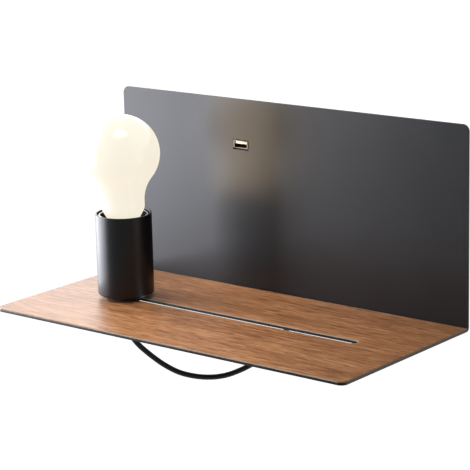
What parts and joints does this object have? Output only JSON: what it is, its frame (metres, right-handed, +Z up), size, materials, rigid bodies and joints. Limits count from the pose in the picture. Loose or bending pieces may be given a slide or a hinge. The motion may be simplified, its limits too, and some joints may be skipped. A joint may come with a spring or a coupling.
{
  "type": "wall lamp with shelf",
  "caption": "Folded steel wall lamp with an oak-topped shelf, a lampholder that slides along a slot, and a USB charging socket.",
  "frame": {"origin": "on the wall face, at the centre of the wall bracket's four slotted holes", "axes": "+Z up, +X to the right as seen from the room, -Y from the wall into the room"},
  "size_m": [0.33, 0.181, 0.2213],
  "materials": {
    "sheet_black": "satin powder coat",
    "cup_black": "satin lacquer",
    "oak_veneer": "oiled oak veneer, grain along X",
    "zinc_steel": "bright zinc plate",
    "stem_steel": "drawn and zinc plated",
    "weld_studs": "copper flashed steel studs",
    "brass": "bright stamped brass",
    "nickel": "bright nickel plate",
    "white_nylon": "moulded nylon",
    "white_casing": "moulded polycarbonate",
    "board_green": "solder mask",
    "black_nylon": "moulded nylon",
    "black_rubber": "moulded rubber",
    "glide_felt": "dense grey felt",
    "glide_nylon": "natural nylon",
    "foam_pad": "double sided foam",
    "steatite": "pressed steatite",
    "pale_thermoset": "moulded thermoset",
    "flex_black": "PVC sheath",
    "lead_brown": "PVC insulation",
    "lead_blue": "PVC insulation",
    "lead_green": "PVC insulation, green and yellow",
    "lead_mixed": "PVC insulation",
    "lead_red": "PVC insulation",
    "opal_glass": "opal, satin coated inside",
    "bulb_cap_metal": "bright rolled aluminium",
    "vitrite": "black glass insulator",
    "clear_glass": "clear flare and stem",
    "lead_wire": "drawn nickel iron wire",
    "phosphor": "yellow phosphor coat"
  },
  "bodies": {
    "lamp_frame": {"shelf_frame": "sheet_black", "shelf_veneer": "oak_veneer", "rear_tray": "sheet_black", "wall_bracket": "zinc_steel", "ear_nuts": "zinc_steel", "side_screws": "cup_black", "m4_studs": "weld_studs", "m4_nuts": "zinc_steel", "m3_studs": "weld_studs", "m3_nuts": "zinc_steel", "usb_shell": "nickel", "usb_tongue": "white_nylon", "usb_contacts": "brass", "usb_board": "board_green", "usb_carrier": "black_nylon", "driver_case": "white_casing", "driver_lid": "white_casing", "driver_board": "board_green", "driver_pad": "foam_pad", "terminal_block": "white_nylon", "terminal_screws": "brass", "earth_lug": "zinc_steel", "cable_grommet": "black_rubber", "flex_saddle": "black_nylon", "tray_flex": "flex_black", "live_lead": "lead_brown", "neutral_lead": "lead_blue", "earth_lead": "lead_green", "driver_leads": "lead_mixed", "usb_leads": "lead_red", "flex": "flex_black"},
    "lampholder": {"cup": "cup_black", "glide_pad": "glide_felt", "stem": "stem_steel", "stem_washer": "zinc_steel", "stem_nut": "zinc_steel", "holder_cap": "black_nylon", "holder_core": "steatite", "holder_skirt": "pale_thermoset", "screw_shell": "brass", "centre_contact": "brass", "side_contact": "brass", "holder_leads": "lead_mixed", "stem_flex": "flex_black", "cord_grip": "black_nylon", "grip_screw": "zinc_steel"},
    "nut_washer": {"clamp_washer": "glide_nylon"},
    "thumb_nut": {"clamp_nut": "cup_black"},
    "bulb": {"bulb_glass": "opal_glass", "bulb_cap": "bulb_cap_metal", "bulb_insulator": "vitrite", "bulb_tip": "bulb_cap_metal", "filament_mount": "clear_glass", "filament_wires": "lead_wire", "led_filaments": "phosphor"}
  },
  "joints": [
    {"name": "lampholder_slide", "type": "slide", "parent": "lamp_frame", "child": "lampholder", "axis": [1, 0, 0], "range_m": [-0.013, 0.217]},
    {"name": "washer_drop", "type": "slide", "parent": "lampholder", "child": "nut_washer", "axis": [0, 0, -1], "range_m": [0, 0.0021]},
    {"name": "thumb_nut_turn", "type": "hinge", "parent": "nut_washer", "child": "thumb_nut", "pos_m": [-0.102, -0.1005, -0.0685], "axis": [0, 0, -1], "range_deg": [0, 720]},
    {"name": "bulb_lift", "type": "slide", "parent": "lampholder", "child": "bulb", "axis": [0, 0, 1], "range_m": [0, 0.04]}
  ],
  "couplings": [
    {"joint": "washer_drop", "follows": "thumb_nut_turn", "m_per_rad": 0.00015915}
  ]
}
